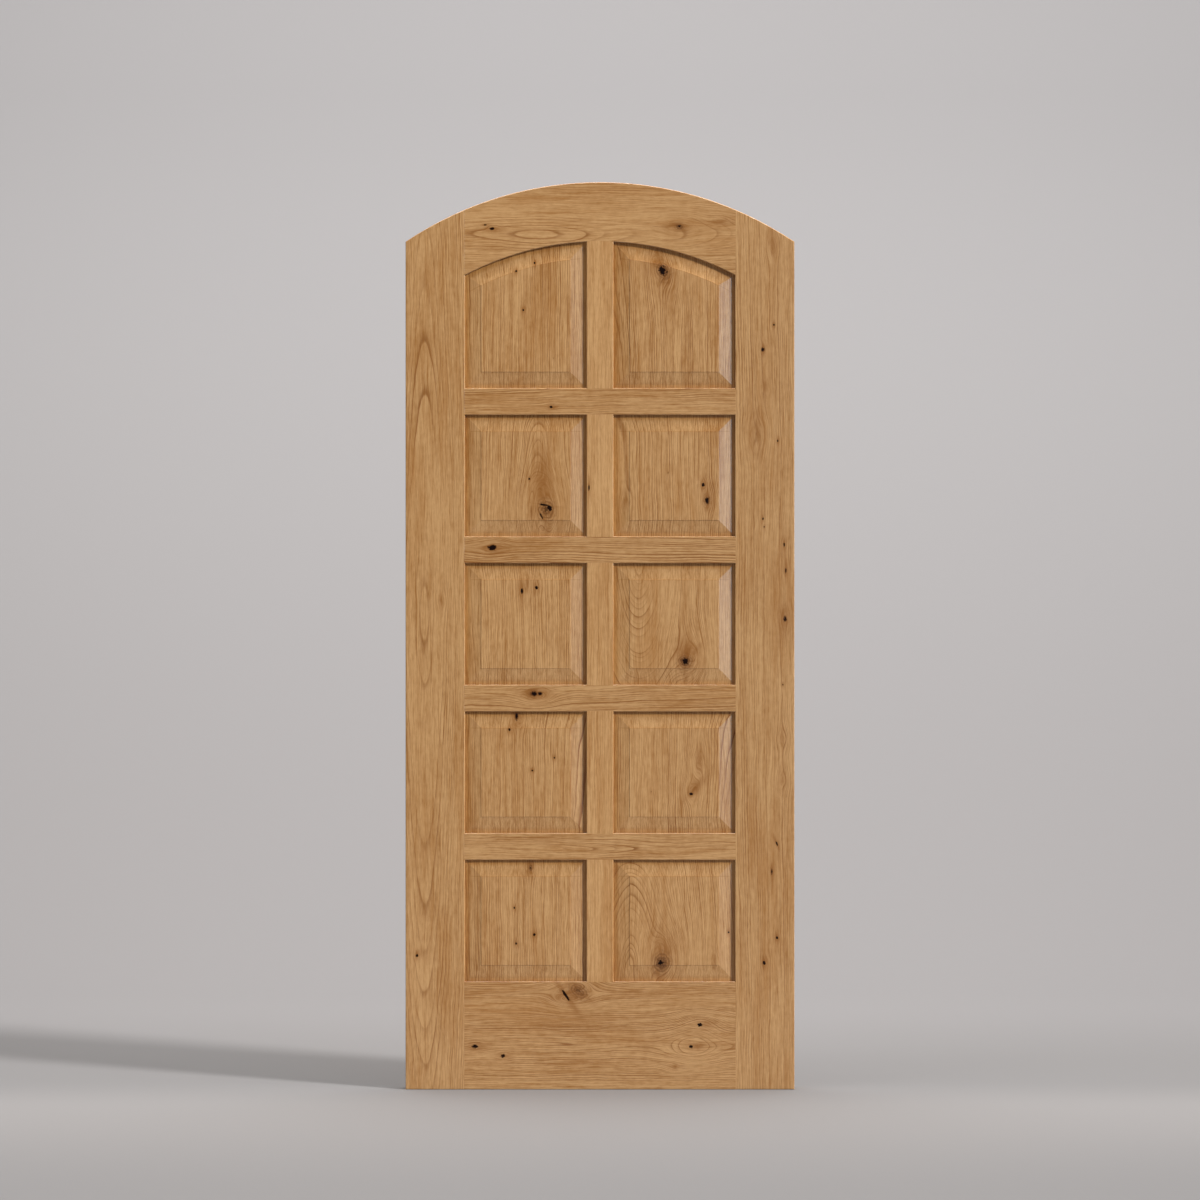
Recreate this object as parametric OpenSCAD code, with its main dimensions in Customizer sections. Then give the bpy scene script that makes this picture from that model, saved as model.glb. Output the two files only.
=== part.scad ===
// Arched stile-and-rail door leaf with ten raised panels.
// The leaf stands on the plane z = 0, is centred on x = 0 and y = 0, and shows its front towards -y.
// Lengths are in millimetres.

/* [Door leaf] */
// Width of the leaf
door_w = 914.4; // [762:0.1:1219.2]
// Height of the leaf at the crown of its arch
door_h = 2133.6; // [1778:0.1:2743.2]
// Thickness of the leaf
door_t = 44.45; // [36:0.05:57.15]
// Rise of the arched head above the square shoulders
arch_rise = 140; // [90:1:200]

/* [Stiles, rails and mullions] */
// Width of each upright stile
stile_w = 139.7; // [100:0.1:175]
// Depth of the arched top rail, measured towards the centre of the arch
crown_w = 139.7; // [100:0.1:180]
// Height of the bottom rail
bottom_rail_h = 254; // [150:0.1:310]
// Height of each cross rail
cross_rail_h = 63.5; // [52:0.1:90]
// Width of each mullion
mullion_w = 63.5; // [50:0.1:90]
// Extra height of the top openings at the crown over the openings below
top_row_extra = 59; // [0:1:120]

/* [Edges and grooves] */
// Chamfer on the outer edges of the leaf
ease = 1.5; // [0.5:0.1:3]
// Small bevel along every edge that faces a panel
stick = 1.5; // [0.5:0.1:4]
// Depth of the groove that holds the panels and the stub tenons
groove_d = 12.7; // [9:0.1:16]
// Space between a stub tenon and the bottom of its groove
tenon_end_gap = 0.5; // [0.2:0.1:1.5]
// Glue space on each face of a stub tenon
glue_gap = 0.1; // [0.05:0.05:0.3]

/* [Raised panels] */
// Depth of the raised field below the face of the leaf
field_recess = 2.6; // [1:0.1:5]
// Depth of the flat margin below the face of the leaf
margin_recess = 7; // [5:0.1:12]
// Width of the flat margin beside the frame
margin_w = 8; // [3:0.5:14]
// Width of the slope between the margin and the field
bevel_w = 30; // [18:0.5:50]
// Height of the small step from the slope up to the field
field_step = 0.8; // [0.3:0.1:1.5]
// Clearance on each face of a panel's tongue
panel_fit = 0.2; // [0.1:0.05:0.5]
// Room for the panel to swell in each side groove
side_room = 3.2; // [1:0.1:6]
// Room above the panel in the groove over it
top_room = 2.4; // [1:0.1:4]

/* [Dowels] */
// Diameter of the dowels in the top and bottom rails
rail_dowel_d = 12.7; // [9:0.1:14]
// Length of the dowels in the top and bottom rails
rail_dowel_l = 127; // [80:1:140]
// Diameter of the dowels in the cross rails and mullions
slim_dowel_d = 9.5; // [6:0.1:10]
// Length of the dowels in the cross rails
slim_dowel_l = 100; // [60:1:120]
// Wood left between the dowels that meet end to end in a cross rail
dowel_web = 8; // [5:0.5:14]
// Clearance between a dowel and the wall of its hole
dowel_fit = 0.1; // [0.05:0.05:0.3]
// Space between a dowel and each end of its hole
dowel_end_gap = 1.5; // [0.5:0.1:3]

/* [Hidden] */
$fn = 64;
// Segments of a full turn of the large arch
arch_fn = 720;
// Rows of openings, counted from the top
rows = 5;
// Distance by which a limiting shape reaches past the faces that it doesn't cut
over = 5;
// Chamfer on the ends of each dowel
dowel_chamfer = 1.5;

oak = [0.69, 0.53, 0.36];
oak_panel = [0.72, 0.56, 0.38];
birch = [0.86, 0.76, 0.58];

// Arch: one centre for the crown and for the underside of the top rail
arch_r = (pow(door_w / 2, 2) + pow(arch_rise, 2)) / (2 * arch_rise);
arch_z = door_h - arch_r;
inner_r = arch_r - crown_w;

// Openings
inner_x = door_w / 2 - stile_w;
open_h = (door_h - crown_w - bottom_rail_h - (rows - 1) * cross_rail_h - top_row_extra) / rows;

// Panel thicknesses and the groove that takes the tongue
tongue_t = door_t - 2 * margin_recess;
field_t = door_t - 2 * field_recess;
groove_w = tongue_t + 2 * panel_fit;
side_tongue = groove_d - side_room;
top_tongue = groove_d - top_room;
tenon_t = groove_w - 2 * glue_gap;
tenon_l = groove_d - tenon_end_gap;

// Mullion dowels reach equally far into the mullion and the rail
mullion_dowel_l = cross_rail_h - dowel_web;

// Height of the lower edge of the opening in a row, where row 1 is at the top
function opening_z(row) = bottom_rail_h + (rows - row) * (open_h + cross_rail_h);

// Half outlines run from the face to the middle of the leaf. u is the distance into the wood.
function eased_edge() = [[ease, door_t / 2], [0, door_t / 2 - ease]];
function eased_limit() = [[ease + over, door_t / 2 + over], [0, door_t / 2 - ease]];
function grooved_edge() = [
    [stick, door_t / 2],
    [0, door_t / 2 - stick],
    [0, groove_w / 2],
    [groove_d, groove_w / 2]
];
function coped_limit() = [
    [-stick - over, door_t / 2 + over],
    [0, door_t / 2 - stick],
    [0, tenon_t / 2],
    [-tenon_l, tenon_t / 2]
];
function open_limit() = [[0, door_t / 2 + over]];
function raised_edge(top = field_t / 2) = [
    [margin_w + bevel_w, top],
    [margin_w + bevel_w, field_t / 2 - field_step],
    [margin_w, tongue_t / 2]
];
function raised_limit() = raised_edge(door_t / 2);

// Both faces of a half outline, and the closed outline between two edges at a and b
function both_faces(half) = concat(
    [for (p = half) [p[0], -p[1]]],
    [for (i = [len(half) - 1 : -1 : 0]) half[i]]
);
function section(a, half_a, b, half_b) = concat(
    [for (p = both_faces(half_a)) [a + p[0], p[1]]],
    [for (p = both_faces(half_b)) [b - p[0], -p[1]]]
);

// Heights of n dowels spread evenly between two limits
function spread(low, high, n) = [for (k = [0 : n - 1]) low + (high - low) * (k + 0.5) / n];

top_dowels = spread(
    arch_z + sqrt(pow(inner_r + groove_d, 2) - pow(inner_x - rail_dowel_l / 2, 2)),
    arch_z + sqrt(pow(arch_r, 2) - pow(inner_x + rail_dowel_l / 2, 2)),
    2
);
bottom_dowels = spread(0, bottom_rail_h - groove_d, 3);
function cross_dowels(row) = spread(opening_z(row) - cross_rail_h + groove_d, opening_z(row) - groove_d, 2);
all_cross_dowels = [for (row = [1 : rows - 1]) each cross_dowels(row)];
mullion_joints = concat(
    [for (row = [1 : rows]) opening_z(row)],
    [for (row = [2 : rows]) opening_z(row) + open_h],
    [arch_z + inner_r]
);

// An (x, y) outline drawn upwards
module upright(outline, low, high) {
    translate([0, 0, low])
        linear_extrude(high - low)
            polygon(outline);
}

// A (z, y) outline drawn across the whole leaf
module crosswise(outline) {
    rotate([0, -90, 0])
        linear_extrude(door_w, center = true)
            polygon(outline);
}

// An (r, y) outline turned round the centre of the arch
module round_arch(outline) {
    translate([0, 0, arch_z])
        rotate([90, 0, 0])
            rotate_extrude($fn = arch_fn)
                polygon(outline);
}

// Dowels or their holes at both stiles
module at_stiles(heights) {
    for (side = [-1, 1], z = heights)
        translate([side * inner_x, 0, z])
            rotate([0, 90, 0])
                children();
}

module at_mullion_joints() {
    for (z = mullion_joints)
        translate([0, 0, z])
            children();
}

module dowel(d, l) {
    barrel_l = l - 2 * dowel_chamfer;
    cylinder(d = d, h = barrel_l, center = true);
    for (end = [0, 1])
        mirror([0, 0, end])
            translate([0, 0, barrel_l / 2])
                cylinder(d1 = d, d2 = d - 2 * dowel_chamfer, h = dowel_chamfer);
}

module dowel_hole(d, l) {
    cylinder(d = d + 2 * dowel_fit, h = l + 2 * dowel_end_gap, center = true);
}

module side_dowel_holes() {
    at_stiles(concat(top_dowels, bottom_dowels)) dowel_hole(rail_dowel_d, rail_dowel_l);
    at_stiles(all_cross_dowels) dowel_hole(slim_dowel_d, slim_dowel_l);
}

module mullion_dowel_holes() {
    at_mullion_joints() dowel_hole(slim_dowel_d, mullion_dowel_l);
}

// Everything below the arch, with its top edge eased
module arch_limit() {
    round_arch(section(0, open_limit(), arch_r, eased_limit()));
    translate([-door_w, -door_t / 2 - over, -over])
        cube([2 * door_w, door_t + 2 * over, arch_z + over]);
}

module stile(side) {
    color(oak)
        difference() {
            intersection() {
                mirror([side < 0 ? 1 : 0, 0, 0])
                    upright(section(inner_x, grooved_edge(), door_w / 2, eased_edge()), 0, door_h);
                crosswise(section(0, eased_limit(), door_h + over, open_limit()));
                arch_limit();
            }
            side_dowel_holes();
        }
}

// A shape between the stiles, with a stub tenon and a coped shoulder at each end
module rail_ends(low, high) {
    upright(section(-inner_x, coped_limit(), inner_x, coped_limit()), low, high);
}

module top_rail() {
    color(oak)
        difference() {
            intersection() {
                round_arch(section(inner_r, grooved_edge(), arch_r, eased_edge()));
                rail_ends(arch_z, door_h + over);
            }
            side_dowel_holes();
            mullion_dowel_holes();
        }
}

module cross_rail(row) {
    high = opening_z(row);
    low = high - cross_rail_h;
    color(oak)
        difference() {
            intersection() {
                crosswise(section(low, grooved_edge(), high, grooved_edge()));
                rail_ends(low - over, high + over);
            }
            side_dowel_holes();
            mullion_dowel_holes();
        }
}

module bottom_rail() {
    color(oak)
        difference() {
            intersection() {
                crosswise(section(0, eased_edge(), bottom_rail_h, grooved_edge()));
                rail_ends(-over, bottom_rail_h + over);
            }
            side_dowel_holes();
            mullion_dowel_holes();
        }
}

module mullion(row) {
    low = opening_z(row);
    high = low + open_h;
    bar = section(-mullion_w / 2, grooved_edge(), mullion_w / 2, grooved_edge());
    color(oak)
        difference() {
            intersection() {
                upright(bar, low - groove_d, row == 1 ? door_h : high + groove_d);
                if (row == 1) {
                    crosswise(section(low, coped_limit(), door_h, open_limit()));
                } else {
                    crosswise(section(low, coped_limit(), high, coped_limit()));
                }
                if (row == 1) {
                    round_arch(section(0, open_limit(), inner_r - glue_gap, coped_limit()));
                }
            }
            mullion_dowel_holes();
        }
}

// A panel's tongue: the flat slab that its frame's grooves hold
module panel_slab(left, right, low, high) {
    translate([left - side_tongue, -tongue_t / 2, low - groove_d])
        cube([right - left + 2 * side_tongue, tongue_t, high - low + groove_d]);
}

module panel(side, row) {
    left = side < 0 ? -inner_x : mullion_w / 2;
    right = side < 0 ? -mullion_w / 2 : inner_x;
    low = opening_z(row);
    high = low + open_h;
    sides = section(left, raised_edge(), right, raised_edge());
    color(oak_panel)
        if (row == 1) {
            intersection() {
                panel_slab(left, right, low, door_h);
                round_arch(section(0, open_limit(), inner_r + top_tongue, open_limit()));
            }
            intersection() {
                upright(sides, low, door_h);
                crosswise(section(low, raised_limit(), door_h, open_limit()));
                round_arch(section(0, open_limit(), inner_r, raised_limit()));
            }
        } else {
            panel_slab(left, right, low, high + top_tongue);
            intersection() {
                upright(sides, low, high);
                crosswise(section(low, raised_limit(), high, raised_limit()));
            }
        }
}

module rail_dowels(heights) {
    color(birch) at_stiles(heights) dowel(rail_dowel_d, rail_dowel_l);
}

module cross_rail_dowels() {
    color(birch) at_stiles(all_cross_dowels) dowel(slim_dowel_d, slim_dowel_l);
}

module mullion_dowels() {
    color(birch) at_mullion_joints() dowel(slim_dowel_d, mullion_dowel_l);
}

stile(-1);  // stile_left
stile(1);  // stile_right
top_rail();
cross_rail(1);  // cross_rail_1
cross_rail(2);  // cross_rail_2
cross_rail(3);  // cross_rail_3
cross_rail(4);  // cross_rail_4
bottom_rail();
mullion(1);  // mullion_1
mullion(2);  // mullion_2
mullion(3);  // mullion_3
mullion(4);  // mullion_4
mullion(5);  // mullion_5
panel(-1, 1);  // panel_1_left
panel(1, 1);  // panel_1_right
panel(-1, 2);  // panel_2_left
panel(1, 2);  // panel_2_right
panel(-1, 3);  // panel_3_left
panel(1, 3);  // panel_3_right
panel(-1, 4);  // panel_4_left
panel(1, 4);  // panel_4_right
panel(-1, 5);  // panel_5_left
panel(1, 5);  // panel_5_right
rail_dowels(top_dowels);  // top_rail_dowels
cross_rail_dowels();
rail_dowels(bottom_dowels);  // bottom_rail_dowels
mullion_dowels();
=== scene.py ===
# %% [markdown]
# # An arched door leaf in knotty oak
#
# The leaf is joiner's work: two stiles, six rails, five mullions and ten raised panels. The packed
# model already holds every board at its true size, so this file doesn't shape boards. It dresses
# them: it takes the sharpness off their edges, gives each one its own piece of oak, and lights the
# leaf in a plain studio.

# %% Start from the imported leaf
import math
import bpy
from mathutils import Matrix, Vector


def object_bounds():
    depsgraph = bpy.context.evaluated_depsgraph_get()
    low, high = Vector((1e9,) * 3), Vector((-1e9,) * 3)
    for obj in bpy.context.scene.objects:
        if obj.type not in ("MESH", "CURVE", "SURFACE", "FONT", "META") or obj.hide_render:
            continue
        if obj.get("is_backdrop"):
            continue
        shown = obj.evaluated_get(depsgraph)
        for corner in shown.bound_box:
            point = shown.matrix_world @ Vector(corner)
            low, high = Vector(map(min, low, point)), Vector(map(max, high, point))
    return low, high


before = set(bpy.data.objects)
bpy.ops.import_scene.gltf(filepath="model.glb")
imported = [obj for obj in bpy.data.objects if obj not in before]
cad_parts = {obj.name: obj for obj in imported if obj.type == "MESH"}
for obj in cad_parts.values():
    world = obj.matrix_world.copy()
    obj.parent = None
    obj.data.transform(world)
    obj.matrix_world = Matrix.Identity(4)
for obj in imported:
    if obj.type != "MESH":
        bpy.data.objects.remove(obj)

cad_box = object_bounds()
MM = 0.001
leaf_low, leaf_high = cad_box
leaf_size = leaf_high - leaf_low
leaf_thick = leaf_size.y
print("leaf", " x ".join(f"{side:.4f}" for side in leaf_size), f"m, {len(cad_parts)} nodes")

# %% [markdown]
# ## Writing oak as formulas
#
# Wood grain is arithmetic on places: how far a point is from the heart of the tree, which ring that
# makes it, how near the next knot is. Blender does such sums with Math nodes. Wiring hundreds of
# them by hand is slow to read, so a small class stands for "a number that changes over the surface".
# Adding or multiplying two of them adds one Math node, and the formulas below read like formulas.

# %% Numbers that vary over a surface
class Field:
    """A number that varies over a surface. Arithmetic on it adds Math nodes to its tree."""

    def __init__(self, tree, socket):
        self.tree = tree
        self.socket = socket

    def math(self, operation, *others, clamp=False):
        node = self.tree.nodes.new("ShaderNodeMath")
        node.operation = operation
        node.use_clamp = clamp
        for socket, value in zip(node.inputs, (self, *others)):
            feed(self.tree, socket, value)
        return Field(self.tree, node.outputs[0])

    def __add__(self, other):
        return self.math("ADD", other)

    def __sub__(self, other):
        return self.math("SUBTRACT", other)

    def __mul__(self, other):
        return self.math("MULTIPLY", other)

    def __truediv__(self, other):
        return self.math("DIVIDE", other)

    def __rsub__(self, other):
        return self * -1 + other

    def __neg__(self):
        return self * -1

    __radd__ = __add__
    __rmul__ = __mul__

    def at_least(self, other):
        return self.math("MAXIMUM", other)

    def at_most(self, other):
        return self.math("MINIMUM", other)


def feed(tree, socket, value):
    """Links a Field to a socket, or sets a plain value on it."""
    if isinstance(value, Field):
        tree.links.new(value.socket, socket)
    else:
        socket.default_value = value


print("formulas can be written with + - * /")

# %% [markdown]
# ## Shapes for the formulas
#
# A few shapes make nearly all of the oak. A bell is a soft spot, such as the stain round a knot. A
# smooth step is a soft border, such as the side of a dark ring line. Noise is what no two boards
# share, and a blend lays one colour over another. Each helper adds the nodes for one of them.

# %% Bells, steps, noise and blends
def length(*parts):
    """The distance to a point whose distances along each axis are the parts."""
    total = parts[0] * parts[0]
    for part in parts[1:]:
        total = total + part * part
    return total.math("SQRT")


def bell(distance):
    """1 where distance is 0, falling smoothly to nothing past about 2."""
    return (-(distance * distance)).math("EXPONENT")


def ease_in(value, low, high):
    """0 below low, 1 above high, with a smooth change between."""
    node = value.tree.nodes.new("ShaderNodeMapRange")
    node.interpolation_type = "SMOOTHSTEP"
    for socket, number in zip(node.inputs, (value, low, high)):
        feed(value.tree, socket, number)
    return Field(value.tree, node.outputs[0])


def noise(x, y, z, detail=2.0, roughness=0.5):
    """Smooth noise from -1 to 1 at a point that is given in noise cells."""
    tree = next(part.tree for part in (x, y, z) if isinstance(part, Field))
    point = tree.nodes.new("ShaderNodeCombineXYZ")
    for socket, value in zip(point.inputs, (x, y, z)):
        feed(tree, socket, value)
    node = tree.nodes.new("ShaderNodeTexNoise")
    node.inputs["Scale"].default_value = 1.0
    node.inputs["Detail"].default_value = detail
    node.inputs["Roughness"].default_value = roughness
    tree.links.new(point.outputs[0], node.inputs["Vector"])
    return Field(tree, node.outputs["Fac"]) * 2 - 1


def blend(tree, share, low, high, how="MIX"):
    """A colour between low and high."""
    node = tree.nodes.new("ShaderNodeMix")
    node.data_type = "RGBA"
    node.blend_type = how
    for name, value in (("Factor_Float", share), ("A_Color", low), ("B_Color", high)):
        socket = next(s for s in node.inputs if s.identifier == name)
        feed(tree, socket, value)
    return Field(tree, next(s for s in node.outputs if s.identifier == "Result_Color"))


print("bells, steps, noise and blends are ready")

# %% [markdown]
# ## Groups with named sockets
#
# A node group is a formula with a name: it is wired up once and then used on every board with other
# numbers. The numbers go in and come out through sockets, so each group starts with a list of their
# names. All groups below work on a board in the same three directions, whichever way it lies in the
# leaf: along its grain, across its face, and down into its depth.

# %% Making a group
PLACE = ("Along", "Across", "Depth")


def new_group(name, inputs, outputs, colours=()):
    """An empty node group and its inputs as Fields."""
    group = bpy.data.node_groups.new(name, "ShaderNodeTree")
    for way, names in (("INPUT", inputs), ("OUTPUT", outputs)):
        for socket in names:
            kind = "NodeSocketColor" if socket in colours else "NodeSocketFloat"
            group.interface.new_socket(socket, in_out=way, socket_type=kind)
    entry = group.nodes.new("NodeGroupInput")
    return group, {name: Field(group, entry.outputs[name]) for name in inputs}


def give(group, **results):
    """Sends the results to the group's outputs."""
    way_out = group.nodes.new("NodeGroupOutput")
    for name, value in results.items():
        feed(group, way_out.inputs[name], value)


print("a place on a board is given as", ", ".join(PLACE).lower())

# %% [markdown]
# ## A group for one knot
#
# A knot is a branch that the tree grew round. On a board it does four things: the grain parts and
# flows round it, a brown stain spreads from it along the grain, its own heart is dark and ringed,
# and the heart often cracks open as it dries. One node group does all of this for one knot. Groups
# are chained, each adding its share to what the groups before it made, so a board may have any
# number of knots. A branch leans and tapers as it goes through the board, so a knot that is wide on
# the front is a small one on the back, or isn't there at all.

# %% The knot group
CHAINED = ("Bend", "Bulge", "Stain", "Core", "Rings", "Black")
KNOT_SIZES = ("Knot along", "Knot across", "Radius", "Stretch", "Turn", "Flow", "Push", "Stain size",
              "Streak", "Shade", "Crack", "Rim", "Side", "Seed")
BRANCH_LEAN = 0.25
BRANCH_TAPER = 0.9
THINNEST_BRANCH = 0.2 * MM
CRACKS = 7
RINGS_IN_A_RADIUS = 12
NEXT_TO_NOTHING = 1e-9


def make_knot_group():
    """Adds one knot to the bends, stains and colours that reach it from the knots before."""
    group, g = new_group("knot", (*PLACE, *KNOT_SIZES, *CHAINED), (*PLACE, *CHAINED))

    # How wide the branch still is at this depth
    sunk = g["Depth"] * g["Side"] / leaf_thick + 0.5
    left = (1 - sunk * BRANCH_TAPER).at_least(0)
    here = ease_in(left, 0.05, 0.3)
    radius = (g["Radius"] * left).at_least(THINNEST_BRANCH)

    # Place relative to the branch, straight along the board and turned with the knot's own slant
    up = g["Along"] - g["Knot along"]
    out = g["Across"] - g["Knot across"] - sunk * leaf_thick * BRANCH_LEAN
    cosine = g["Turn"].math("COSINE")
    sine = g["Turn"].math("SINE")
    du = (up * cosine + out * sine) / g["Stretch"]
    dv = out * cosine - up * sine
    d = length(du, dv) / radius
    ragged = noise(du / radius * 1.1, dv / radius * 1.1, g["Seed"], detail=3.0, roughness=0.65)
    lobes = noise(du / radius * 2.6, dv / radius * 2.6, g["Seed"] + 5, detail=1.0)
    edge = d + ragged * 0.5

    # The dead heart of the branch is dark and ringed, with a black hole and cracks in its middle
    dead = ease_in(g["Crack"], 0, 0.3) * here
    core = (1 - ease_in(edge, 0.7, 1.1)) * dead
    hole = 1 - ease_in(d + ragged * 0.8 + lobes * 0.5, g["Crack"] * 0.75, g["Crack"] * 0.75 + 0.2)
    round_it = dv.math("ARCTAN2", du) * (CRACKS / 2)
    ray = (round_it + ragged * 2.5 + g["Seed"]).math("SINE").math("ABSOLUTE")
    check = (1 - ease_in(ray, 0.05, 0.28)) * (1 - ease_in(d, 0.5, 1.05)) * ease_in(d, 0.05, 0.25)
    black = hole.at_least(check * 0.8) * dead
    ringed = (edge * RINGS_IN_A_RADIUS).math("SINE") * 0.5 + 0.5
    rings = ringed * (1 - ease_in(edge, 1.1, 2.1)) * here * g["Rim"]

    # Brown stain: a halo that reaches further up the tree, a streak along the grain, and short rays
    risen = du - radius * g["Push"] * 0.7
    halo = bell(length(risen * 0.5, dv * 0.85) / (radius * g["Stain size"]) + ragged * 0.4)
    streak = bell(up / (radius * g["Streak"] * 3)) * bell(out / (radius * 0.9) + ragged * 0.5)
    rays = (1 - ease_in(ray, 0.1, 0.6)) * bell(d / 1.8) * g["Rim"]
    stain = (halo.at_least(streak * 0.7) + rays * 0.5) * here

    # The grain parts to both sides of the knot, and the rings swell over it
    flow = bell(length(up * 0.55, out) / (radius * g["Flow"])) * here
    hill = bell(length(up * 0.8 - radius * 0.8, out) / (radius * g["Flow"] * 1.2)) * here

    results = dict(
        Bend=g["Bend"] + out * flow * 0.85,
        Bulge=g["Bulge"] + radius * hill * g["Push"],
        Stain=g["Stain"].at_least(stain * g["Shade"]),
        Core=g["Core"].at_least(core * g["Shade"]),
        Rings=g["Rings"].at_least(rings),
        Black=g["Black"].at_least(black),
    )
    # The next knot's place waits for all of this one's results, so that a renderer never has to hold
    # the half-made results of many knots at once
    wait = sum(results.values()) * NEXT_TO_NOTHING
    give(group, **{name: g[name] + wait for name in PLACE}, **results)
    return group


KNOT_GROUP = make_knot_group()
print(f"knot group: {len(KNOT_GROUP.nodes)} nodes")

# %% [markdown]
# ## A group for the oak
#
# Rings are cylinders round the heart of the tree. A board sawn through them shows them as lines at
# its sides and as tall pointed arches in its middle, because the tree wasn't a true cylinder and the
# saw wasn't parallel to it. So the group works out each point's distance from a heart line that lies
# behind the board and drifts along it. Where the trunk was swollen, the heart line falls away both
# above and below, and the arches close up into long ovals. The distance gives the ring, and the
# place inside the ring gives the colour: open pores and a dark line where spring growth starts, then
# smooth pale wood. Drawn-out noise adds the fibres, streaks and patches that no two boards share.

# %% Colours of oiled oak
PALE_OAK = (0.625, 0.362, 0.156, 1)
DEEP_OAK = (0.372, 0.168, 0.046, 1)
LINE_OAK = (0.270, 0.102, 0.024, 1)
PORE_OAK = (0.180, 0.068, 0.018, 1)
RED_OAK = (0.490, 0.222, 0.062, 1)
# Painted shade: a darker, redder tint laid over recessed panel margins and bright upward edges
PAINTED_SHADE_TINT = (0.78, 0.68, 0.48, 1)
STAIN_BROWN = (0.300, 0.112, 0.020, 1)
RING_BROWN = (0.200, 0.078, 0.020, 1)
KNOT_BROWN = (0.105, 0.028, 0.004, 1)
KNOT_BLACK = (0.007, 0.001, 0.0003, 1)
OILED_SHINE = (1.0, 0.80, 0.60, 1)
print("oak from pale", PALE_OAK[:3], "to deep", DEEP_OAK[:3])

# %% Sizes in the grain
BOARD_SIZES = ("Heart", "Heart depth", "Climb", "Peak", "Middle", "Spacing", "Wander", "Seed",
               "Tone", "Contrast")
# PaintedShade is where painted shade goes; Lift is where the wood is paler
TOUCHES = ("PaintedShade", "Lift")
PEAK_ROUND = 60 * MM
WAVE = 4.2 * MM
RIPPLE = 1.3 * MM
OIL_FILM = 0.82

# Cells of noise in a metre, along the grain and across it
WAVE_CELLS = (7, 10)
RIPPLE_CELLS = (22, 40)
PORE_CELLS = (60, 1500)
PORE_STEP = (0.16, 0.42)
FIBRE_CELLS = (16, 380)
HAIR_CELLS = (4, 240)
STREAK_CELLS = (4, 85)
PATCH_CELLS = (3.2, 15)
CURL_CELLS = (60, 90)


def drawn_out(cells, along, side, depth, seed, **looks):
    """Noise whose cells are drawn out along the grain."""
    long_way, short_way = cells
    return noise(along * long_way, side * short_way, depth * short_way + seed, **looks)


print(f"a pore is about {1000 / PORE_CELLS[0]:.0f} mm long and {1000 / PORE_CELLS[1]:.1f} mm wide")

# %% The oak group
def grey(tree, level):
    """A colour that is level in red, green and blue."""
    node = tree.nodes.new("ShaderNodeCombineColor")
    for socket in node.inputs:
        feed(tree, socket, level)
    return Field(tree, node.outputs[0])


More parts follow.
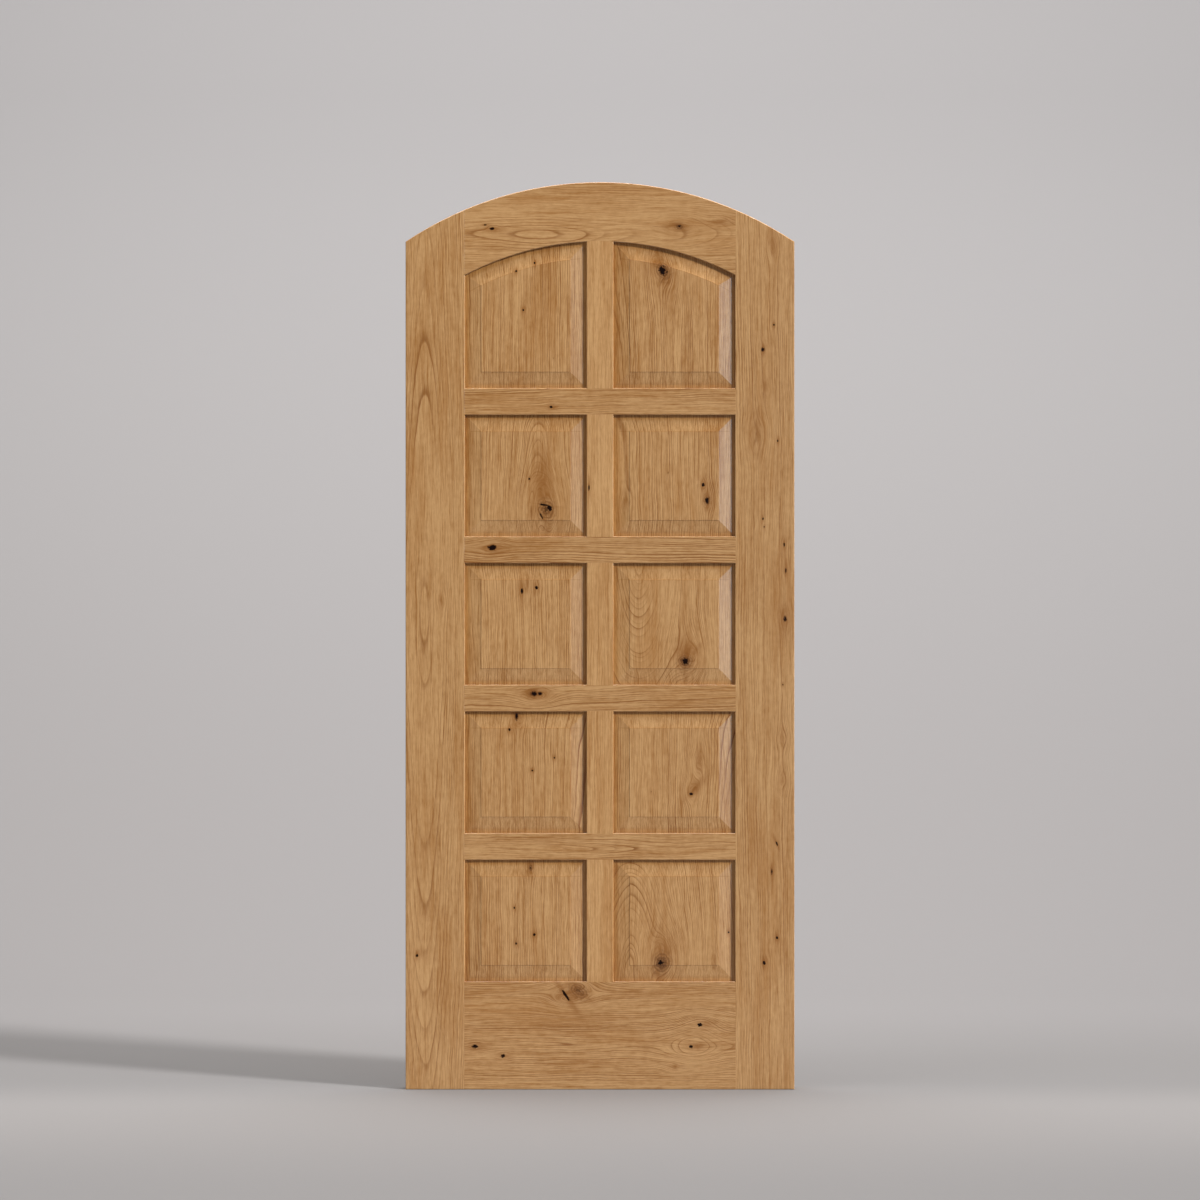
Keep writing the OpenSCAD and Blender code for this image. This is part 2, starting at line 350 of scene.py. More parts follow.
def make_oak_group():
    """Works out the colour, the roughness and the oil film of one board."""
    inputs = (*PLACE, *BOARD_SIZES, *TOUCHES, *CHAINED)
    group, g = new_group("oak", inputs, ("Color", "Roughness", "Film"), colours=("Color",))
    along, across, depth, seed = g["Along"], g["Across"], g["Depth"], g["Seed"]

    # The heart line drifts as it goes up the tree, and so do the rings round it
    climbed = along - g["Middle"]
    peak = (length(climbed, PEAK_ROUND + climbed * 0) - PEAK_ROUND) * g["Peak"]
    drift = noise(along * 1.6, seed, 0.0, detail=1.0) * g["Wander"]
    sway = noise(along * 2.2, across * 5, seed + 7, detail=2.0) * g["Wander"] * 0.55
    wave = drawn_out(WAVE_CELLS, along, across, depth, seed, detail=2.0, roughness=0.6) * WAVE
    ripple = drawn_out(RIPPLE_CELLS, along, across, depth, seed, detail=2.0) * RIPPLE
    side = across - g["Heart"] + sway + wave + ripple - g["Bend"]
    behind = g["Heart depth"] + depth + g["Climb"] * climbed + peak + drift
    reach = length(side, behind) - g["Bulge"]

    # Rings differ in width, and some are much plainer than others
    ring = reach / g["Spacing"] + noise(reach * 70, seed, 3.0, detail=2.0) * 1.6
    place = ring.math("FRACT")
    number = ring.math("FLOOR")
    strength = (noise(number * 0.73, seed, 0.5, detail=0.0) * 1.2 + 0.6).at_least(0.1)
    zone = (noise(along * 2.6, side * 11, seed + 9, detail=1.0) * 1.1 + 0.75).at_least(0.2)
    patchy = noise(along * 9, side * 30, seed + 1, detail=1.0) * 0.7 + 0.9
    sharp = ease_in(place, 0.0, 0.08) * (1 - ease_in(place, 0.08, 0.34))
    soft = ease_in(place, 0.0, 0.10) * (1 - ease_in(place, 0.10, 0.8))
    line = (sharp * 0.8 + soft * 0.35) * strength * patchy * zone * g["Contrast"]

    # Pores and fibres are drawn out along the grain
    here = (along, side, depth)
    pores = ease_in(drawn_out(PORE_CELLS, *here, seed, detail=1.0), *PORE_STEP)
    fibre = drawn_out(FIBRE_CELLS, *here, seed, detail=3.0, roughness=0.75)
    hair = ease_in(drawn_out(HAIR_CELLS, *here, seed + 2, detail=1.0), 0.24, 0.42) * zone
    streak = drawn_out(STREAK_CELLS, *here, seed, detail=2.0, roughness=0.6)
    patch = drawn_out(PATCH_CELLS, *here, seed + 3, detail=2.0)
    curl = drawn_out(CURL_CELLS, *here, seed + 5, detail=2.0)

    # From pale to deep oak, then the ring lines and pores, then the knots, and last the painted shade
    fine = fibre * 1.36 + curl * 0.34
    broad = streak * 0.36 + patch * 0.44 - g["Lift"]
    deep = 0.31 + line * 0.52 + (hair * 0.45 + fine) * (g["Contrast"] * 0.35 + 0.65) + broad
    base = blend(group, deep.math("ADD", 0, clamp=True), PALE_OAK, DEEP_OAK)
    warm = (patch * 0.5 + streak * 0.35).math("ADD", 0, clamp=True)
    base = blend(group, warm, base, RED_OAK)
    base = blend(group, (line * 0.85).math("ADD", 0, clamp=True), base, LINE_OAK)
    base = blend(group, (pores * (line * 0.9 + 0.16)).math("ADD", 0, clamp=True), base, PORE_OAK)
    base = blend(group, 1.0, base, grey(group, g["Tone"]), how="MULTIPLY")
    base = blend(group, g["Stain"] * (0.82 + streak * 0.35 + fibre * 0.6), base, STAIN_BROWN)
    base = blend(group, g["Core"] * (0.8 + fibre * 0.4), base, KNOT_BROWN)
    base = blend(group, g["Rings"] * 0.75, base, RING_BROWN)
    base = blend(group, g["Black"], base, KNOT_BLACK)
    # Painted shade: the darker, redder tint wherever the touches ask for it
    base = blend(group, g["PaintedShade"], base, blend(group, 1.0, base, PAINTED_SHADE_TINT, how="MULTIPLY"))
    rough = 0.36 + pores * line * 0.2 + fibre * 0.05
    film = OIL_FILM * (1 - g["Black"])
    give(group, Color=base, Roughness=rough, Film=film)
    return group


OAK_GROUP = make_oak_group()
print(f"oak group: {len(OAK_GROUP.nodes)} nodes")

# %% [markdown]
# ## What a finger feels
#
# Oak is never quite smooth: its long pores stay open as fine dents, and the fibres between them stand
# a little proud after sanding. They are too small to need the bends round the knots, so this group
# takes the board's plain place. A renderer works a bump out three times, and this keeps that cheap.

# %% The dent group
FIBRE_RISE = 0.03
PORE_DENT = 0.05


def make_dent_group():
    """Works out how high the surface stands, in millimetres."""
    group, g = new_group("dents", (*PLACE, "Seed"), ("Height",))
    where = (g["Along"], g["Across"], g["Depth"], g["Seed"])
    pores = ease_in(drawn_out(PORE_CELLS, *where, detail=1.0), *PORE_STEP)
    fibre = drawn_out(FIBRE_CELLS, *where, detail=3.0, roughness=0.75)
    give(group, Height=fibre * FIBRE_RISE - pores * PORE_DENT)
    return group


DENT_GROUP = make_dent_group()
print(f"dent group: {len(DENT_GROUP.nodes)} nodes")

# %% [markdown]
# ## Three kinds of knots
#
# A knot is given by where it sits on the leaf, in millimetres across and up, and by its radius. What
# it looks like depends on how the saw met the branch. A full knot is cut across a branch. A pin knot
# is a twig that died young, so only a crisp black dot is left. And a smudge is a knot that the saw
# just missed: it lies under the surface and shades the oak above it.

# %% Knots, pins and smudges
STAINED_PIN = 1.4


def knot(x, z, radius, stretch=1.3, turn=0.0, flow=3.0, push=0.6, stain=1.6, streak=1.0, shade=0.9,
         crack=0.8, rim=0.0, side=1):
    """One knot: where it is on the leaf and its radius, in millimetres, and how it looks."""
    looks = (stretch, turn, flow, push, stain, streak, shade, crack, rim, side)
    return dict(x=x, z=z, radius=radius, looks=looks)


def pin(x, z, radius=2.0, **looks):
    """A pin knot: a small crisp black dot."""
    usual = dict(stretch=1.2, stain=1.7, crack=0.95, flow=2.2)
    return knot(x, z, radius * STAINED_PIN, **(usual | looks))


def smudge(x, z, radius, **looks):
    """A knot just below the surface: a brown shade without a dark heart."""
    usual = dict(stretch=2.2, stain=1.3, streak=1.2, shade=0.6, crack=0.0)
    return knot(x, z, radius, **(usual | looks))


print(f"a knot has {len(KNOT_SIZES)} numbers, and most of them have a usual value")

# %% [markdown]
# ## One piece of oak for each board
#
# Every board was sawn from its own part of a tree, so every board gets its own material, made from
# the same groups with its own numbers. The grain runs along the board: up in stiles, mullions and
# panels, and across in rails. The groups of the knots are chained up first, and the oak group comes
# last and turns what they hand on into colours. The surface is a satin oil: it sits on the wood as a
# thin film that softens the light and lets the pores show through as fine dents. A knot's black
# cracks drink the oil up and stay dull, so only boards with knots need a film that varies.

# %% The oak of a board
OAK_IOR = 1.5
BARE_SHINE = 0.15
FILM_ROUGHNESS = 0.24
DENT_UNIT = 1 * MM
DENT_STRENGTH = 0.8


def call(tree, group, values):
    """A group node with its inputs set or linked by name."""
    node = tree.nodes.new("ShaderNodeGroup")
    node.node_tree = group
    for name, value in values.items():
        feed(tree, node.inputs[name], value)
    return node


def oak(name, knots, runs_up, heart, deep, climb, seed, middle=0, peak=0.0, spacing=4.2, wander=14,
        tone=1.0, contrast=1.0, touches=None):
    """The oak of one board. Sizes are in millimetres.

    The heart line of the tree passes the board at heart, across the grain, and lies deep behind it.
    It leans by climb all the way, falls away by peak on both sides of middle, and wanders. Rings are
    spacing apart. touches is a function of the place that gives the painted shade and the paler parts.
    """
    material = bpy.data.materials.new(name)
    material.use_nodes = True
    tree = material.node_tree
    shader = tree.nodes["Principled BSDF"]
    place = tree.nodes.new("ShaderNodeTexCoord")
    split = tree.nodes.new("ShaderNodeSeparateXYZ")
    tree.links.new(place.outputs["Object"], split.inputs[0])
    x, y, z = (Field(tree, split.outputs[i]) for i in range(3))
    along, across = (z, x) if runs_up else (x, z)
    where = dict(Along=along, Across=across, Depth=y)
    dents = call(tree, DENT_GROUP, where | dict(Seed=seed * 1.0))
    chain = dict.fromkeys(CHAINED, 0.0)
    for number, k in enumerate(knots):
        at_along, at_across = (k["z"], k["x"]) if runs_up else (k["x"], k["z"])
        sizes = (at_along * MM, at_across * MM, k["radius"] * MM, *k["looks"], seed + number * 3.7)
        made = call(tree, KNOT_GROUP, where | dict(zip(KNOT_SIZES, sizes)) | chain)
        where = {name: Field(tree, made.outputs[name]) for name in PLACE}
        chain = {name: Field(tree, made.outputs[name]) for name in CHAINED}
    sizes = (heart * MM, deep * MM, climb, peak, middle * MM, spacing * MM, wander * MM, seed * 1.0,
             tone, contrast)
    extra = touches(x, z) if touches else {}
    made = call(tree, OAK_GROUP, where | dict(zip(BOARD_SIZES, sizes)) | extra | chain)
    tree.links.new(made.outputs["Color"], shader.inputs["Base Color"])
    tree.links.new(made.outputs["Roughness"], shader.inputs["Roughness"])
    bump = tree.nodes.new("ShaderNodeBump")
    bump.inputs["Distance"].default_value = DENT_UNIT
    bump.inputs["Strength"].default_value = DENT_STRENGTH
    tree.links.new(dents.outputs["Height"], bump.inputs["Height"])
    tree.links.new(bump.outputs[0], shader.inputs["Normal"])
    shader.inputs["IOR"].default_value = OAK_IOR
    shader.inputs["Specular Tint"].default_value = OILED_SHINE
    shader.inputs["Specular IOR Level"].default_value = BARE_SHINE
    shader.inputs["Coat Roughness"].default_value = FILM_ROUGHNESS
    if knots:
        tree.links.new(made.outputs["Film"], shader.inputs["Coat Weight"])
    else:
        shader.inputs["Coat Weight"].default_value = OIL_FILM
    return material


def dress(node, material):
    """Gives a board its oak."""
    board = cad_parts[node]
    board.data.materials.clear()
    board.data.materials.append(material)


print("every board can have its own oak")

# %% [markdown]
# ## Painted shade along upper edges
#
# The rounded arris round the top of the arch, and the one along the upper edge of each rail, face up
# and catch the overhead light as a bright line. A thin band of painted shade along these edges dims
# it. Both are touches: functions of the place that the oak group adds to a board. The arch is part of
# a circle, so its touch needs only the circle's centre and radius.

# %% Painted shade along edges
ARCH_CENTRE = 1317.1 * MM
ARCH_OUTSIDE = 816.5 * MM
EDGE_SHADE_FROM = 0.8 * MM
EDGE_SHADE_TO = 2.2 * MM
RAIL_EDGE_SHADE = 0.55


def painted_edge_shade(gap):
    """Painted shade: 1 along an edge, and 0 a little way from it."""
    return 1 - ease_in(gap, EDGE_SHADE_FROM, EDGE_SHADE_TO)


def arch_edge_painted_shade(x, z):
    """A touch for the boards that make the arch: painted shade along its outer edge."""
    above = (z - ARCH_CENTRE).at_least(0)
    return dict(PaintedShade=painted_edge_shade(ARCH_OUTSIDE - length(x, above)))


def rail_top_painted_shade(node):
    """A touch for a rail: painted shade along its upper edge."""
    high = max(corner[2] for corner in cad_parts[node].bound_box)
    return lambda x, z: dict(PaintedShade=painted_edge_shade(high - z) * RAIL_EDGE_SHADE)


# How far the painted edge shade reaches into the arch; the rails get less of it
print(f"oil soaks {EDGE_SHADE_TO / MM} mm into the arch, and less into the rails")

# %% [markdown]
# ## Stiles
#
# The stiles are the two long uprights that carry everything else. Each is one plain board about
# 140 mm wide, with its top cut to the arch. The left one is sawn through a swelling of the trunk, so
# long ovals run up its middle. The right one has straighter grain with a row of small knots along
# its outer side. The strip beside the openings is a little paler on both.

# %% Stiles
STILE_INNER = 317.5 * MM
PALE_BAND = 11 * MM
PALER = 0.13


def stile_touches(x, z):
    """The painted shade along the arch's edge, and the paler strip beside the openings."""
    outwards = x.math("ABSOLUTE") - STILE_INNER
    band = 1 - ease_in(outwards, 0.7 * PALE_BAND, PALE_BAND)
    return arch_edge_painted_shade(x, z) | dict(Lift=band * PALER)


LEFT_STILE_KNOTS = [pin(-430, 315, 2.4), smudge(-375, 1147, 4)]
RIGHT_STILE_KNOTS = [
    smudge(407, 1982, 6), pin(409, 1798, 1.5), knot(383, 1740, 4.4, crack=0.7), smudge(386, 1648, 4),
    smudge(369, 1540, 10, shade=0.5), pin(418, 1525, 1.3, stretch=2), pin(383, 1342, 1.5, stretch=1.8),
    pin(386, 1323, 1.1), pin(433, 1281, 1.4, stretch=2.6), knot(437, 1220, 2.4, stretch=3, crack=0.6),
    knot(435, 1107, 5.0, stretch=1.6, crack=0.5, stain=2.4, push=0), pin(430, 952, 1.1),
    smudge(430, 825, 5), smudge(430, 726, 5), pin(416, 578, 1.5, stretch=3, turn=-0.4),
    knot(404, 512, 2.6, stretch=3, crack=0.4), pin(416, 357, 2.2), knot(386, 298, 3.8, crack=0.9),
]
dress("stile_left", oak("oak stile left", LEFT_STILE_KNOTS, True, heart=-412, deep=78, climb=0.0,
                        peak=0.035, middle=1120, spacing=3.8, wander=7, contrast=0.7, seed=12,
                        touches=stile_touches))
dress("stile_right", oak("oak stile right", RIGHT_STILE_KNOTS, True, heart=230, deep=110, climb=0.02,
                         middle=1000, contrast=0.6, seed=23, touches=stile_touches))
print(f"two stiles, the right one with {len(RIGHT_STILE_KNOTS)} small knots and shades")

# %% [markdown]
# ## Rails
#
# Rails run between the stiles, and their grain runs across the leaf. The top rail is sawn to the
# arch from a wide board, so its rings lie as flat ovals that the curve cuts through. The bottom rail
# is the widest board and has the wildest grain: two knots bend it at the right, and a slanting
# cracked knot opens left of the middle. Two of the cross rails have a cracked knot of their own.

# %% Top rail
TOP_RAIL_KNOTS = [
    pin(-254, 2024, 2.6, stretch=1.8), pin(-270, 2033, 1.4, stretch=2),
    knot(186, 2029, 7, stretch=1.4, crack=0.28, rim=0.5, shade=0.6, flow=4, streak=2),
    smudge(282, 2040, 4.5, shade=0.8), knot(60, 2090, 7, side=-1, crack=0.5),
]
dress("top_rail", oak("oak top rail", TOP_RAIL_KNOTS, False, heart=2012, deep=62, climb=0.02,
                      peak=0.05, middle=-150, spacing=3.8, wander=12, contrast=0.65, seed=31,
                      touches=arch_edge_painted_shade))
print(f"a top rail with {len(TOP_RAIL_KNOTS)} knots, one of them at the back")

# %% Cross rails
CROSS_RAILS = {
    "cross_rail_1": dict(heart=1700, deep=90, climb=0.02, seed=37, knots=[pin(-115, 1605, 2.4)]),
    "cross_rail_2": dict(heart=1190, deep=90, climb=0.02, seed=41, knots=[
        knot(-254, 1274, 7.5, stretch=1.6, streak=2.4, stain=1.6, crack=0.85)]),
    "cross_rail_3": dict(heart=990, deep=70, climb=0.04, seed=43, knots=[
        knot(-156, 931, 7.5, flow=4, push=1.2, crack=0.7, rim=0.4, stain=1.8),
        knot(-141, 931, 5, crack=0.6, flow=3)]),
    "cross_rail_4": dict(heart=566, deep=34, climb=0.04, seed=47, spacing=3.4, wander=20,
                         contrast=1.2, knots=[]),
}
for node, numbers in CROSS_RAILS.items():
    name = "oak " + node.replace("_", " ")
    dress(node, oak(name, runs_up=False, touches=rail_top_painted_shade(node), **numbers))
print(f"{len(CROSS_RAILS)} cross rails")

# %% Bottom rail
BOTTOM_RAIL_KNOTS = [
    smudge(-70, 227, 15, stretch=1.7, turn=0.15, flow=2.5, push=0, shade=1, stain=1.0, streak=0.6),
    knot(-80, 221, 3.6, stretch=4.5, turn=-0.96, crack=1.1, stain=2.0, flow=4, shade=1, push=0),
    knot(-50, 231, 10, crack=0.12, stretch=1.7, turn=-0.6, rim=0.9, stain=1.1, push=0),
    knot(235, 152, 4.4, flow=8, push=4, crack=1.1, stain=1.9), pin(214, 101, 3, flow=9, push=4),
    pin(-294, 101, 3.4, stretch=1.8), pin(-228, 79, 3.4), smudge(176, 54, 5, stretch=0.5, shade=1),
]
dress("bottom_rail", oak("oak bottom rail", BOTTOM_RAIL_KNOTS, False, heart=104, deep=30, climb=0.0,
                         wander=20, contrast=1.3, seed=53, touches=rail_top_painted_shade("bottom_rail")))
print(f"a bottom rail with {len(BOTTOM_RAIL_KNOTS)} knots and shades")

# %% [markdown]
# ## Mullions
#
# The mullions are short uprights that split each row in two. They are the plainest boards on the
# leaf, cut from straight-grained stock, and a shade paler than the rest.

# %% Mullions
MULLION_SEEDS = (61, 67, 71, 73, 79)
MULLION_HEARTS = (130, -160, 170, -140, 110)
MULLION_KNOTS = {2: [pin(-26, 1415, 1.4, stretch=4)]}
for row, (seed, heart) in enumerate(zip(MULLION_SEEDS, MULLION_HEARTS), start=1):
    dress(f"mullion_{row}", oak(f"oak mullion {row}", MULLION_KNOTS.get(row, []), True, heart=heart,
                                deep=80, climb=0.02, seed=seed, tone=1.07, contrast=0.35))
print(f"{len(MULLION_SEEDS)} mullions")

# %% [markdown]
# ## Raised panels
#
# Each panel is a thick board glued up and left free in the grooves, so that it can swell and shrink.
# A cutter sinks its border: a long slope, then a flat margin that slides into the frame. The margin
# and the lower part of the slope are painted darker and redder: painted shade for the recess beside
# the frame, full on the sides and the top and half as strong at the foot. A thin line of painted
# shade also lies along the small step at the upper end of the field, to dim its bright edge. The
# distance to the frame is worked out from the panel's own size, and in the top row from the arch.

# %% Painted shade in the panel margins
ARCH_INSIDE = 676.8 * MM
SIDE_TONGUE = 9.5 * MM
LOW_TONGUE = 12.7 * MM
HIGH_TONGUE = 10.3 * MM
MARGIN_SHADE_FROM = 5 * MM
MARGIN_SHADE_TO = 17 * MM
FOOT_SHADE = 0.5
STEP = 38.4 * MM
STEP_WIDTH = 1 * MM
STEP_SHADE = 0.6


def painted_margin_shade(board, arched):
    """A touch for a panel: painted shade, 1 beside the frame, fading to 0 up the slope."""
    corners = [Vector(corner) for corner in board.bound_box]
    left = min(c.x for c in corners) + SIDE_TONGUE
    right = max(c.x for c in corners) - SIDE_TONGUE
    low = min(c.z for c in corners) + LOW_TONGUE
    high = max(c.z for c in corners) - HIGH_TONGUE

    def touch(x, z):
        top = ARCH_INSIDE - length(x, z - ARCH_CENTRE) if arched else high - z
        gap = (x - left).at_most(right - x).at_most(top)
        # Painted shade: full on the sides and top, half at the foot, and a thin line along the field's
        # step
        foot = (1 - ease_in(z - low, MARGIN_SHADE_FROM, MARGIN_SHADE_TO)) * FOOT_SHADE
        step = bell((top - STEP) / STEP_WIDTH) * STEP_SHADE
        return dict(PaintedShade=foot.at_least(step).at_least(1 - ease_in(gap, MARGIN_SHADE_FROM, MARGIN_SHADE_TO)))

    return touch


# How far from the frame the painted shade reaches
print(f"oil pools within {MARGIN_SHADE_TO / MM:.0f} mm of the frame")

# %% [markdown]
# ## The oak of the ten panels
#
# A joiner keeps the liveliest boards for the panels. On the right, the first, third and fifth were
# sawn close to the heart of the tree: tall arches climb up the first, and broad ones bend round the
# large knots of the other two. The left ones are quieter, but for the great cracked knot in the
# second row. Some knots only come out at the back, so the two faces aren't alike.

# %% Panels
PANELS = {
    "panel_1_left": dict(heart=-420, deep=80, seed=101, knots=[
        pin(-198, 1925, 2), pin(-155, 1944, 2), pin(-181, 1833, 1.8), knot(-120, 1720, 8, side=-1)]),
    "panel_1_right": dict(heart=20, deep=70, climb=0.06, middle=1800, spacing=3.6, contrast=1.2,
                          seed=103, knots=[
        smudge(130, 1950, 12, stretch=1.6, turn=0.6, flow=1.5),
        knot(148, 1925, 12.5, stretch=1.45, turn=-0.35, crack=0.66, rim=0.9, flow=3.2, stain=1.7,
             streak=2.4)]),
    "panel_2_left": dict(heart=-146, deep=30, climb=0.12, middle=1400, wander=6, contrast=0.9,
                         seed=107, knots=[
        smudge(-137, 1412, 15, stretch=2.2, shade=0.85, flow=1.5, streak=1.6),
        smudge(-129, 1318, 8, stretch=2.8, shade=0.7),
        knot(-127, 1364, 15, stretch=1.1, crack=0.16, rim=1.0, shade=0.75, stain=1.3, push=1.6,
             streak=2),
        knot(-133, 1375, 2.4, stretch=4.6, turn=1.72, crack=1.2, stain=1.4, shade=1, flow=5),
        knot(-119, 1367, 4.6, stretch=1.6, turn=2.6, crack=1.2, stain=1.3, flow=4),
        knot(-139, 1349, 2.3, stretch=4.2, turn=-0.47, crack=0.9, stain=1.2, shade=1),
        pin(-167, 1436, 1.8)]),
    "panel_2_right": dict(heart=20, deep=100, seed=109, knots=[
        pin(242, 1422, 3, streak=2), knot(251, 1385, 7, stretch=1.5, crack=0.8, rim=0.5, stain=1.6),
        smudge(59, 1382, 5), knot(150, 1450, 10, side=-1, crack=0.5, rim=0.7)]),
    "panel_3_left": dict(heart=-360, deep=80, seed=113, knots=[
        pin(-150, 1180, 3), pin(-184, 1172, 2.6, stretch=2.2), smudge(-172, 1186, 4, shade=0.9)]),
    "panel_3_right": dict(heart=90, deep=68, climb=-0.28, middle=1090, wander=12, spacing=4.4,
                          contrast=0.8, seed=127, knots=[
        knot(200, 1006, 13.5, stretch=0.95, crack=0.5, rim=0.8, flow=4.0, push=1.8, stain=1.7,
             streak=1.3),
        smudge(214, 1022, 6, stretch=2, turn=0.7, shade=0.8)]),
    "panel_4_left": dict(heart=-20, deep=90, seed=131, knots=[
        knot(-198, 876, 5.5, stretch=2.2, crack=0.75, streak=3, stain=2.0),
        smudge(-190, 864, 5, shade=0.8), pin(-214, 846, 2.2), pin(-108, 780, 1.6),
        pin(-160, 750, 2.2, stretch=0.7)]),
    "panel_4_right": dict(heart=330, deep=80, seed=137, knots=[
        knot(214, 695, 5, stretch=0.7, crack=1.1, stain=1.8), smudge(222, 708, 8, turn=0.7, shade=0.8),
        smudge(233, 766, 7, shade=0.8), knot(110, 700, 9, side=-1, crack=0.6)]),
    "panel_5_left": dict(heart=-430, deep=90, seed=139, knots=[
        knot(-165, 521, 6, stretch=1.6, crack=0.2, shade=0.7, stain=1.8, rim=0.4), pin(-202, 427, 1.8),
        pin(-155, 364, 2.3), pin(-198, 343, 2)]),
    "panel_5_right": dict(heart=70, deep=60, climb=0.26, middle=400, wander=12, spacing=4.6,
                          contrast=0.8, seed=149, knots=[
        knot(144, 297, 15, stretch=1.25, turn=0.25, crack=0.3, rim=1.0, shade=0.8, flow=3.2, push=2.0,
             stain=1.5, streak=1.8),
        smudge(140, 330, 13, stretch=1.8, shade=0.5, flow=1), pin(301, 369, 1.6), smudge(270, 298, 5)]),
}
for node, numbers in PANELS.items():
    touch = painted_margin_shade(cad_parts[node], arched=node.startswith("panel_1"))
    usual = dict(runs_up=True, climb=0.03, tone=1.03, touches=touch)
    dress(node, oak("oak " + node.replace("_", " "), **(usual | numbers)))
knot_count = sum(len(numbers["knots"]) for numbers in PANELS.values())
print(f"{len(PANELS)} panels with {knot_count} knots and shades")

# %% [markdown]
# ## Dowels
#
# Birch dowels hold the frame together from inside. They are turned from straight-grained rod: pale,
# even, and without the ring lines and pores of oak. Only a leaf taken apart shows them.

# %% Dowels
BIRCH = oak("birch dowels", [], False, heart=0, deep=200, climb=0, seed=5, tone=1.2, contrast=0.3)
DOWELS = ("top_rail_dowels", "cross_rail_dowels", "bottom_rail_dowels", "mullion_dowels")
for node in DOWELS:
    dress(node, BIRCH)
print(f"birch for {len(DOWELS)} sets of dowels")

# %% [markdown]
# ## Arrises
#
# An arris is the edge where two faces meet. A plane or a machine leaves it sharp, and the joiner then
# takes it off with a few strokes of sandpaper, because a sharp edge splinters and oil won't stay on
# it. Rounding every arris by a third of a millimetre is what makes each board catch a thin line of
# light along its edge, and it leaves a fine groove at each joint, as on the real leaf.

# %% Rounded arrises
ARRIS = 0.35 * MM
SHARP = math.radians(25)
FLAT = math.radians(0.05)
SAME_POINT = 0.001 * MM


def round_arrises(board):
    """Joins the board's flat faces up and rounds every sharp edge between them."""
    weld = board.modifiers.new("weld corners", "WELD")
    weld.merge_threshold = SAME_POINT
    flat = board.modifiers.new("join flat faces", "DECIMATE")
    flat.decimate_type = "DISSOLVE"
    flat.angle_limit = FLAT
    arris = board.modifiers.new("round arrises", "BEVEL")
    arris.width = ARRIS
    arris.segments = 2
    arris.limit_method = "ANGLE"
    arris.angle_limit = SHARP
    arris.use_clamp_overlap = False


for name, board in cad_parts.items():
    if "dowels" not in name:
        round_arrises(board)
print(f"arrises rounded to {ARRIS / MM:.2f} mm")

# %% [markdown]
# ## The studio
#
# A seamless sweep of pale paper makes the floor and the background. On a real set the paper is pulled
# off a roll above and behind the work and laid out towards the camera, so no line shows where the
# floor ends. Here it is a strip of faces whose outline is a floor, a quarter of a circle and a wall.

# %% Paper sweep
def paper_sweep(front=-14.0, back=5.0, radius=3.0, half_width=14.0, top=12.0, steps=24):
    """A floor that curves up into a background."""
    outline = [(front, 0.0), (back - radius, 0.0)]
    for i in range(1, steps + 1):
        a = math.pi / 2 * i / steps
        outline.append((back - radius + radius * math.sin(a), radius - radius * math.cos(a)))
    outline.append((back, top))
    mesh = bpy.data.meshes.new("paper sweep")
    verts = [(x, y, z) for y, z in outline for x in (-half_width, half_width)]
    faces = [(2 * i, 2 * i + 1, 2 * i + 3, 2 * i + 2) for i in range(len(outline) - 1)]
    mesh.from_pydata(verts, [], faces)
    mesh.shade_smooth()
    sweep = bpy.data.objects.new("paper_sweep", mesh)
    bpy.context.scene.collection.objects.link(sweep)
    sweep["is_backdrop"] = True
    return sweep


sweep = paper_sweep()
print(f"paper sweep of {len(sweep.data.polygons)} faces")

# %% [markdown]
# ## Paper
#
# Matt paper throws light back evenly in all directions. Its colour is painted lighter and darker from
# front to back and up the wall: painted light just in front of the leaf and up the wall, and painted
# shade round the leaf's foot, for a set that isn't lit the same all over. The back of the paper is
# clear, so that the leaf can be looked at from behind as well.

# %% Paper
NEAREST_PAPER = (0.238, 0.227, 0.225, 1)
NEAR_PAPER_PAINTED_LIGHT = (0.284, 0.268, 0.263, 1)
PAPER_PAINTED_SHADE_UNDER_LEAF = (0.232, 0.221, 0.218, 1)
PAPER_BEHIND_LEAF = (0.278, 0.264, 0.263, 1)
HIGH_PAPER_PAINTED_LIGHT = (0.425, 0.410, 0.412, 1)
paper = bpy.data.materials.new("paper")
paper.use_nodes = True
tree = paper.node_tree
place = tree.nodes.new("ShaderNodeTexCoord")
split = tree.nodes.new("ShaderNodeSeparateXYZ")
tree.links.new(place.outputs["Object"], split.inputs[0])
depth, height = Field(tree, split.outputs[1]), Field(tree, split.outputs[2])
# Painted light just before the leaf and up the wall, painted shade round the leaf's foot
shade = blend(tree, ease_in(depth, -1.5, -0.4), NEAREST_PAPER, NEAR_PAPER_PAINTED_LIGHT)
shade = blend(tree, ease_in(depth, -0.35, 0.15), shade, PAPER_PAINTED_SHADE_UNDER_LEAF)
shade = blend(tree, ease_in(depth, 0.4, 2.0), shade, PAPER_BEHIND_LEAF)
shade = blend(tree, ease_in(height, 0.1, 3.4), shade, HIGH_PAPER_PAINTED_LIGHT)
paper_front = tree.nodes["Principled BSDF"]
feed(tree, paper_front.inputs["Base Color"], shade)
paper_front.inputs["Roughness"].default_value = 0.9
side_seen = tree.nodes.new("ShaderNodeNewGeometry")
paper_back = tree.nodes.new("ShaderNodeBsdfTransparent")
either = tree.nodes.new("ShaderNodeMixShader")
tree.links.new(side_seen.outputs["Backfacing"], either.inputs[0])
tree.links.new(paper_front.outputs[0], either.inputs[1])
tree.links.new(paper_back.outputs[0], either.inputs[2])
tree.links.new(either.outputs[0], tree.nodes["Material Output"].inputs["Surface"])
sweep.data.materials.append(paper)
print("paper with a matt front and a clear back")

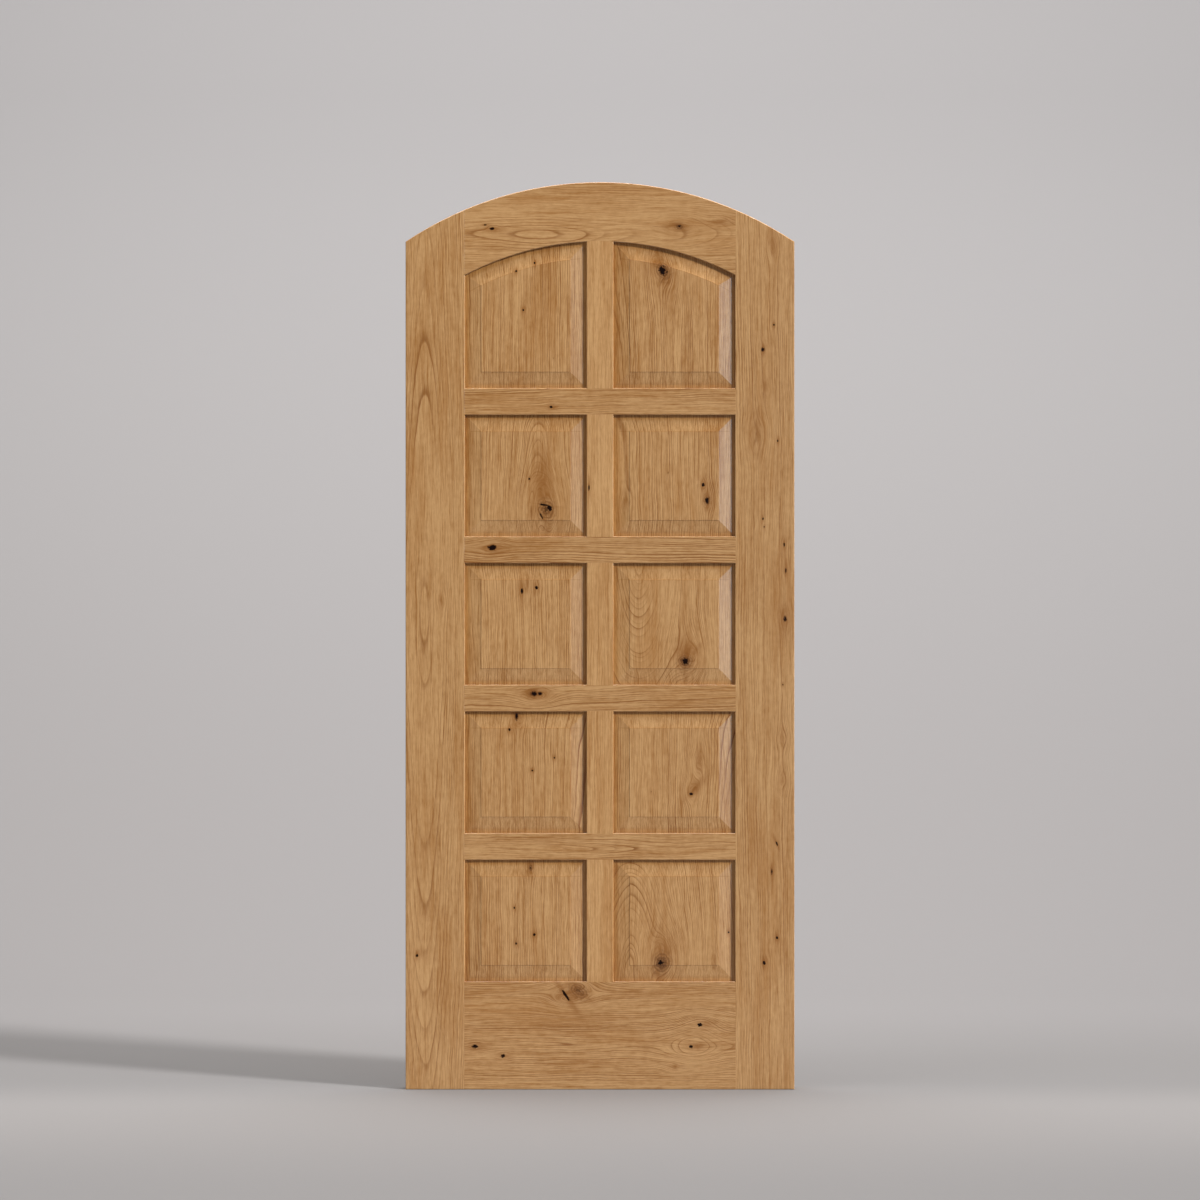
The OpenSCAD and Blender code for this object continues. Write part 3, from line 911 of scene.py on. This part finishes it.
# %% [markdown]
# ## Lights
#
# The key light comes from high on the right and rakes over the leaf, so that the frame throws a thin
# shadow on the right and top margins of each panel. A weak fill on the left opens up the left slopes,
# and a wide light overhead brightens the floor and the background behind the leaf. The last lamp is
# there for its reflection only: the slopes that lean to the right mirror it as a cool sheen, but it
# doesn't light any matt surface, or it would fill the shadows that the key has made.

# %% Lights
def softbox(name, place, size, power, colour=(1, 1, 1), aim=Vector((0, 0, 1.1))):
    """A flat light at a place, turned to the middle of the leaf or to another aim."""
    data = bpy.data.lights.new(name, "AREA")
    data.shape = "RECTANGLE"
    data.size, data.size_y = size
    data.energy = power
    data.color = colour
    lamp = bpy.data.objects.new(name, data)
    lamp.location = place
    lamp.visible_camera = False
    lamp.rotation_mode = "QUATERNION"
    lamp.rotation_quaternion = (Vector(place) - aim).to_track_quat("Z", "Y")
    bpy.context.scene.collection.objects.link(lamp)
    return lamp


KEY_FROM = Vector((1.7, -1.0, 1.1)).normalized()
key_data = bpy.data.lights.new("key", "SUN")
key_data.energy = 3.4
key_data.angle = math.radians(8)
key = bpy.data.objects.new("key", key_data)
key.rotation_mode = "QUATERNION"
key.rotation_quaternion = KEY_FROM.to_track_quat("Z", "Y")
bpy.context.scene.collection.objects.link(key)
softbox("fill", (-4.9, -4.2, 3.0), (3.0, 3.0), 36)
softbox("overhead", (0.2, 0.4, 5.6), (5.0, 3.5), 350, aim=Vector((0.2, 0.4, 0.0)))
sheen = softbox("sheen", (3.8, -8.6, 2.0), (2.0, 3.6), 195, colour=(0.34, 0.70, 1.0))
sheen.visible_diffuse = False
key_slant = math.degrees(math.asin(-KEY_FROM.y))
print(f"the key light falls on the leaf at {key_slant:.0f} degrees to its face, with three soft lights")

# %% [markdown]
# ## Air of the studio
#
# Light also comes back from the walls and the ceiling, and it's a little warm. It is weakest straight
# in front of the leaf and behind it, because the camera's side of a studio is kept dark: an oiled
# surface that mirrors a grey wall looks dull.

# %% Air of the studio
AIR_COLOUR = (1.0, 0.95, 0.87, 1)
AIR_AHEAD = 0.04
AIR_AT_THE_SIDES = 0.22
world = bpy.data.worlds.new("studio air")
bpy.context.scene.world = world
world.use_nodes = True
tree = world.node_tree
place = tree.nodes.new("ShaderNodeTexCoord")
split = tree.nodes.new("ShaderNodeSeparateXYZ")
tree.links.new(place.outputs["Generated"], split.inputs[0])
ahead = Field(tree, split.outputs[1])
background = tree.nodes["Background"]
background.inputs["Color"].default_value = AIR_COLOUR
feed(tree, background.inputs["Strength"], AIR_AHEAD + (1 - ahead * ahead) * AIR_AT_THE_SIDES)
bpy.context.scene.view_settings.view_transform = "Standard"
print("walls and ceiling give a soft warm light")

# %% [markdown]
# ## Camera
#
# The camera stands straight in front of the leaf, at half its height and far back, as for a drawing:
# uprights stay upright, and the arch isn't stretched.

# %% Camera
VIEW_WIDTH = 2.8216
EYE_HEIGHT = 1.151
EYE_DISTANCE = 9.0
camera_data = bpy.data.cameras.new("camera")
camera_data.sensor_width = 36
camera_data.lens = camera_data.sensor_width * EYE_DISTANCE / VIEW_WIDTH
camera = bpy.data.objects.new("camera", camera_data)
camera.location = (0, leaf_low.y - EYE_DISTANCE, EYE_HEIGHT)
camera.rotation_euler = (math.pi / 2, 0, 0)
bpy.context.scene.collection.objects.link(camera)
bpy.context.scene.camera = camera
print(f"camera {EYE_DISTANCE} m in front, lens {camera_data.lens:.0f} mm")

# %% [markdown]
# ## Finish
#
# The boards were only dressed, so the leaf must still fill exactly the box it had at the start.

# %% Finish
shown_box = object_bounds()
growth = max((a - b).length for a, b in zip(cad_box, shown_box))
print(f"the dressed leaf's box differs from the packed one's by {growth / MM:.3f} mm")
